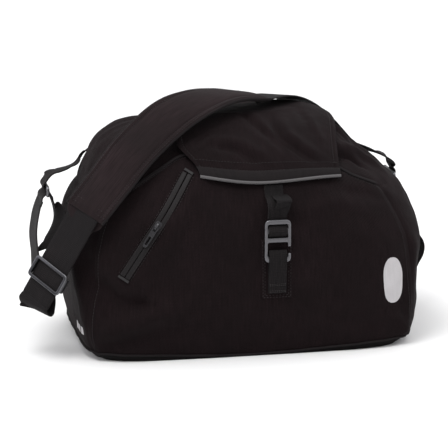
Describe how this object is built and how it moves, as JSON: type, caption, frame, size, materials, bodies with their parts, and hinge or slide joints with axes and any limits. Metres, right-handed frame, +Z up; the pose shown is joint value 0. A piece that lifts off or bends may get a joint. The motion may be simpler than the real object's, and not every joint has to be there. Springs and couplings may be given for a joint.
{
  "type": "rope storage bag",
  "caption": "Soft duffel-shaped bag for a climbing rope, with a hinged flap and hook closure over a gathered collar, a slanted zip pocket and a padded shoulder strap.",
  "frame": {"origin": "middle of the flat underside, on the floor", "axes": "+X along the bag to its right end, -Y the front with the closure and the pocket, +Z up"},
  "size_m": [0.59, 0.3218, 0.3402],
  "materials": {
    "canvas": "woven, matt",
    "pad_cloth": "ribbed weave, matt",
    "webbing": "woven tape, satin",
    "binding_tape": "grosgrain",
    "reflective_binding": "satin",
    "zip_tape": "coated, satin",
    "zip_plastic": "moulded",
    "zip_metal": "semi-gloss",
    "hook_metal": "anodised",
    "strap_metal": "satin",
    "foam": "closed-cell foam",
    "lining": "coated taffeta",
    "red_webbing": "woven tape",
    "reflective_film": "printed film"
  },
  "bodies": {
    "bag": {"front_panel": "canvas", "back_panel": "canvas", "left_end_panel": "canvas", "right_end_panel": "canvas", "bottom_panel": "canvas", "base_board": "foam", "collar": "canvas", "collar_hem": "binding_tape", "collar_eyelets": "strap_metal", "rope_tie_loops": "red_webbing", "foot_piping": "binding_tape", "shoulder_piping": "binding_tape", "side_mark": "reflective_film", "end_bars": "reflective_film", "zip_tape_upper": "zip_tape", "zip_tape_lower": "zip_tape", "zip_coil": "zip_plastic", "zip_end_stops": "zip_plastic", "pocket_lining": "lining", "hook_patch": "canvas", "hook_loop": "webbing", "flap_hinge_tape": "binding_tape", "left_anchor_tab": "webbing", "right_anchor_tab": "webbing"},
    "flap": {"flap": "canvas", "flap_binding": "reflective_binding"},
    "closure_strap": {"hook_strap": "webbing"},
    "hook": {"g_hook": "hook_metal", "strap_fold": "webbing"},
    "slider": {"zip_slider": "zip_metal"},
    "pull": {"zip_pull": "zip_metal"},
    "shoulder_strap": {"shoulder_pad": "pad_cloth", "front_webbing": "webbing", "left_strap_loop": "webbing", "rear_webbing": "webbing"},
    "adjuster": {"strap_adjuster": "strap_metal"},
    "left_ring": {"left_ring": "strap_metal"},
    "right_ring": {"right_ring": "strap_metal"}
  },
  "joints": [
    {"name": "flap_hinge", "type": "hinge", "parent": "bag", "child": "flap", "pos_m": [0, 0.0815, 0.296], "axis": [-1, 0, 0], "range_deg": [0, 95], "deforming": ["hook_loop"]},
    {"name": "strap_swing", "type": "hinge", "parent": "bag", "child": "shoulder_strap", "pos_m": [0, 0.07, 0.24], "axis": [-1, 0, 0], "range_deg": [0, 114], "deforming": ["left_strap_loop", "rear_webbing"]},
    {"name": "closure_strap_swing", "type": "hinge", "parent": "flap", "child": "closure_strap", "pos_m": [0.03, -0.1195, 0.2285], "axis": [-1, 0, 0], "range_deg": [0, 80]},
    {"name": "hook_pivot", "type": "hinge", "parent": "closure_strap", "child": "hook", "pos_m": [0.03, -0.1446, 0.192], "axis": [-1, 0, 0], "range_deg": [0, 80]},
    {"name": "zip_slide", "type": "slide", "parent": "bag", "child": "slider", "axis": [0.5692, 0.0749, 0.8188], "range_m": [-0.068, 0.012]},
    {"name": "pull_hinge", "type": "hinge", "parent": "slider", "child": "pull", "pos_m": [-0.12884, -0.14036, 0.1839], "axis": [-0.7749, 0.3817, 0.5038], "range_deg": [0, 95]},
    {"name": "adjuster_slide", "type": "slide", "parent": "shoulder_strap", "child": "adjuster", "axis": [-0.4899, 0.06, -0.8697], "range_m": [-0.05, 0.015]},
    {"name": "left_ring_swing", "type": "hinge", "parent": "bag", "child": "left_ring", "pos_m": [-0.254, 0.007, 0.2135], "axis": [0, 1, 0], "range_deg": [-20, 20]},
    {"name": "right_ring_swing", "type": "hinge", "parent": "bag", "child": "right_ring", "pos_m": [0.242, 0.084, 0.1955], "axis": [0, 1, 0], "range_deg": [-20, 20]}
  ],
  "couplings": [
    {"joint": "strap_swing", "follows": "flap_hinge", "ratio": 1.2}
  ]
}
